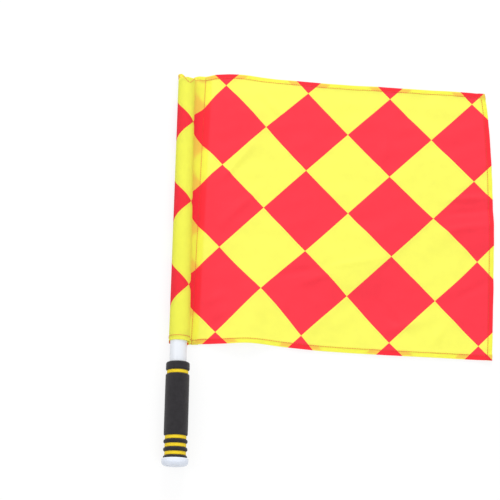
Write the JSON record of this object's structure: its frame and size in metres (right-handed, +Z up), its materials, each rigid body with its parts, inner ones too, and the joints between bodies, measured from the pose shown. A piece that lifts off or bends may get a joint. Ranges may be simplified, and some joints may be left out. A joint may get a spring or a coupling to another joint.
{
  "type": "linesman flag",
  "caption": "Hand flag: a diamond-printed two-colour cloth with a sewn sleeve that turns on a white plastic tube with a banded foam grip and an end cap.",
  "frame": {"origin": "centre of the end cap's flat butt face", "axes": "+Y runs up the staff from the butt to the tip, +Z is up from the table that the flag lies on, and the cloth lies towards +X"},
  "size_m": [0.4103, 0.5026, 0.0311],
  "materials": {
    "tube_white": "smooth white rigid PVC tube",
    "cap_white": "satin white moulded polypropylene",
    "foam_black": "matt closed-cell black foam",
    "foam_yellow": "matt closed-cell yellow foam",
    "cloth_print": "thin plain-weave polyester, lemon yellow printed with red diamonds",
    "seam_thread": "red polyester sewing thread"
  },
  "bodies": {
    "staff": {"pole_tube": "tube_white", "tip_plug": "cap_white", "end_cap": "cap_white", "grip_end_ring": "foam_black", "grip_band_4": "foam_yellow", "grip_ring_2": "foam_black", "grip_band_3": "foam_yellow", "grip_ring_1": "foam_black", "grip_band_2": "foam_yellow", "grip_main": "foam_black", "grip_band_1": "foam_yellow", "grip_collar": "foam_black"},
    "flag": {"flag_cloth": "cloth_print"}
  },
  "joints": [
    {"name": "flag_swivel", "type": "hinge", "parent": "staff", "child": "flag", "pos_m": [0, 0, 0], "axis": [0, -1, 0.0096], "continuous": true}
  ]
}
